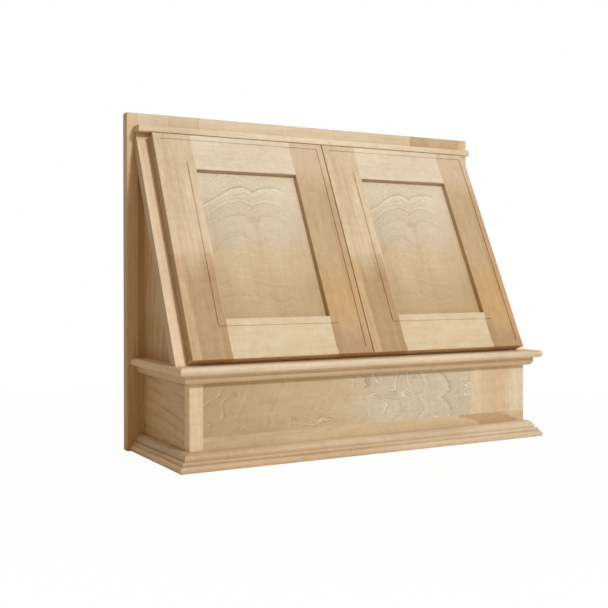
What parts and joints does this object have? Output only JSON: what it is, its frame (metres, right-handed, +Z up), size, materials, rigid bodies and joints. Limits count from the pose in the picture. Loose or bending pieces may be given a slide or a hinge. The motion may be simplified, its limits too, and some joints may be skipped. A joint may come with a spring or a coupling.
{
  "type": "wooden range hood cover",
  "caption": "Wall or cabinet mounted wooden range hood cover: leaning face with framed doors on concealed hinges over a moulded box, on a back board with a duct cut-out.",
  "frame": {"origin": "wall side of the back board, at its bottom edge, midway between its ends", "axes": "+X to the viewer's right along the wall, +Y into the wall, +Z up"},
  "size_m": [0.762, 0.2476, 0.5969],
  "materials": {
    "pad": "soft clear pad",
    "screw_steel": "zinc plated",
    "pin_steel": "bright",
    "hinge_steel": "nickel plated",
    "panel_maple": "bare, sanded",
    "figured_maple": "bare, sanded, figured",
    "side_maple": "bare, sanded",
    "back_maple": "bare, sanded",
    "frame_softwood": "bare, sawn",
    "moulding_maple": "bare, sanded",
    "door_maple": "bare, sanded",
    "face_maple": "bare, sanded"
  },
  "bodies": {
    "hood": {"back_edge_left": "back_maple", "back_edge_right": "back_maple", "back_panel": "back_maple", "base_front": "moulding_maple", "base_left": "moulding_maple", "base_right": "moulding_maple", "belt_front": "moulding_maple", "belt_left": "moulding_maple", "belt_right": "moulding_maple", "case_screws": "screw_steel", "cleat_front": "frame_softwood", "cleat_left": "frame_softwood", "cleat_right": "frame_softwood", "corner_block_left": "frame_softwood", "corner_block_right": "frame_softwood", "face_rail_bottom": "face_maple", "face_rail_top": "face_maple", "face_stile_left": "face_maple", "face_stile_right": "face_maple", "ledge": "moulding_maple", "left_arm_pins": "pin_steel", "left_arm_screws": "screw_steel", "left_lower_hinge_arm": "hinge_steel", "left_upper_hinge_arm": "hinge_steel", "nailer": "frame_softwood", "right_arm_pins": "pin_steel", "right_arm_screws": "screw_steel", "right_lower_hinge_arm": "hinge_steel", "right_upper_hinge_arm": "hinge_steel", "side_panel_left": "side_maple", "side_panel_right": "side_maple", "valance_board": "face_maple", "valance_panel": "figured_maple", "valance_rail": "face_maple", "valance_stile": "face_maple"},
    "left_door": {"left_cup_pins": "pin_steel", "left_cup_screws": "screw_steel", "left_door_bottom_rail": "door_maple", "left_door_bumpers": "pad", "left_door_inner_stile": "door_maple", "left_door_outer_stile": "door_maple", "left_door_panel": "panel_maple", "left_door_top_rail": "door_maple", "left_lower_hinge_cup": "hinge_steel", "left_upper_hinge_cup": "hinge_steel"},
    "right_door": {"right_cup_pins": "pin_steel", "right_cup_screws": "screw_steel", "right_door_bottom_rail": "door_maple", "right_door_bumpers": "pad", "right_door_inner_stile": "door_maple", "right_door_outer_stile": "door_maple", "right_door_panel": "panel_maple", "right_door_top_rail": "door_maple", "right_lower_hinge_cup": "hinge_steel", "right_upper_hinge_cup": "hinge_steel"},
    "left_hinge_links": {"left_lower_hinge_link": "hinge_steel", "left_upper_hinge_link": "hinge_steel"},
    "right_hinge_links": {"right_lower_hinge_link": "hinge_steel", "right_upper_hinge_link": "hinge_steel"}
  },
  "joints": [
    {"name": "left_hinge_link_swing", "type": "hinge", "parent": "hood", "child": "left_hinge_links", "pos_m": [-0.30104, -0.11627, 0.35676], "axis": [0, -0.4163, -0.9092], "range_deg": [-30, 0]},
    {"name": "left_door_swing", "type": "hinge", "parent": "left_hinge_links", "child": "left_door", "pos_m": [-0.33348, -0.12317, 0.35992], "axis": [0, -0.4163, -0.9092], "range_deg": [0, 130]},
    {"name": "right_hinge_link_swing", "type": "hinge", "parent": "hood", "child": "right_hinge_links", "pos_m": [0.30104, -0.11627, 0.35676], "axis": [0, 0.4163, 0.9092], "range_deg": [-30, 0]},
    {"name": "right_door_swing", "type": "hinge", "parent": "right_hinge_links", "child": "right_door", "pos_m": [0.33348, -0.12317, 0.35992], "axis": [0, 0.4163, 0.9092], "range_deg": [0, 130]}
  ],
  "couplings": [
    {"joint": "left_hinge_link_swing", "follows": "left_door_swing", "ratio": -0.23077},
    {"joint": "right_hinge_link_swing", "follows": "right_door_swing", "ratio": -0.23077}
  ]
}
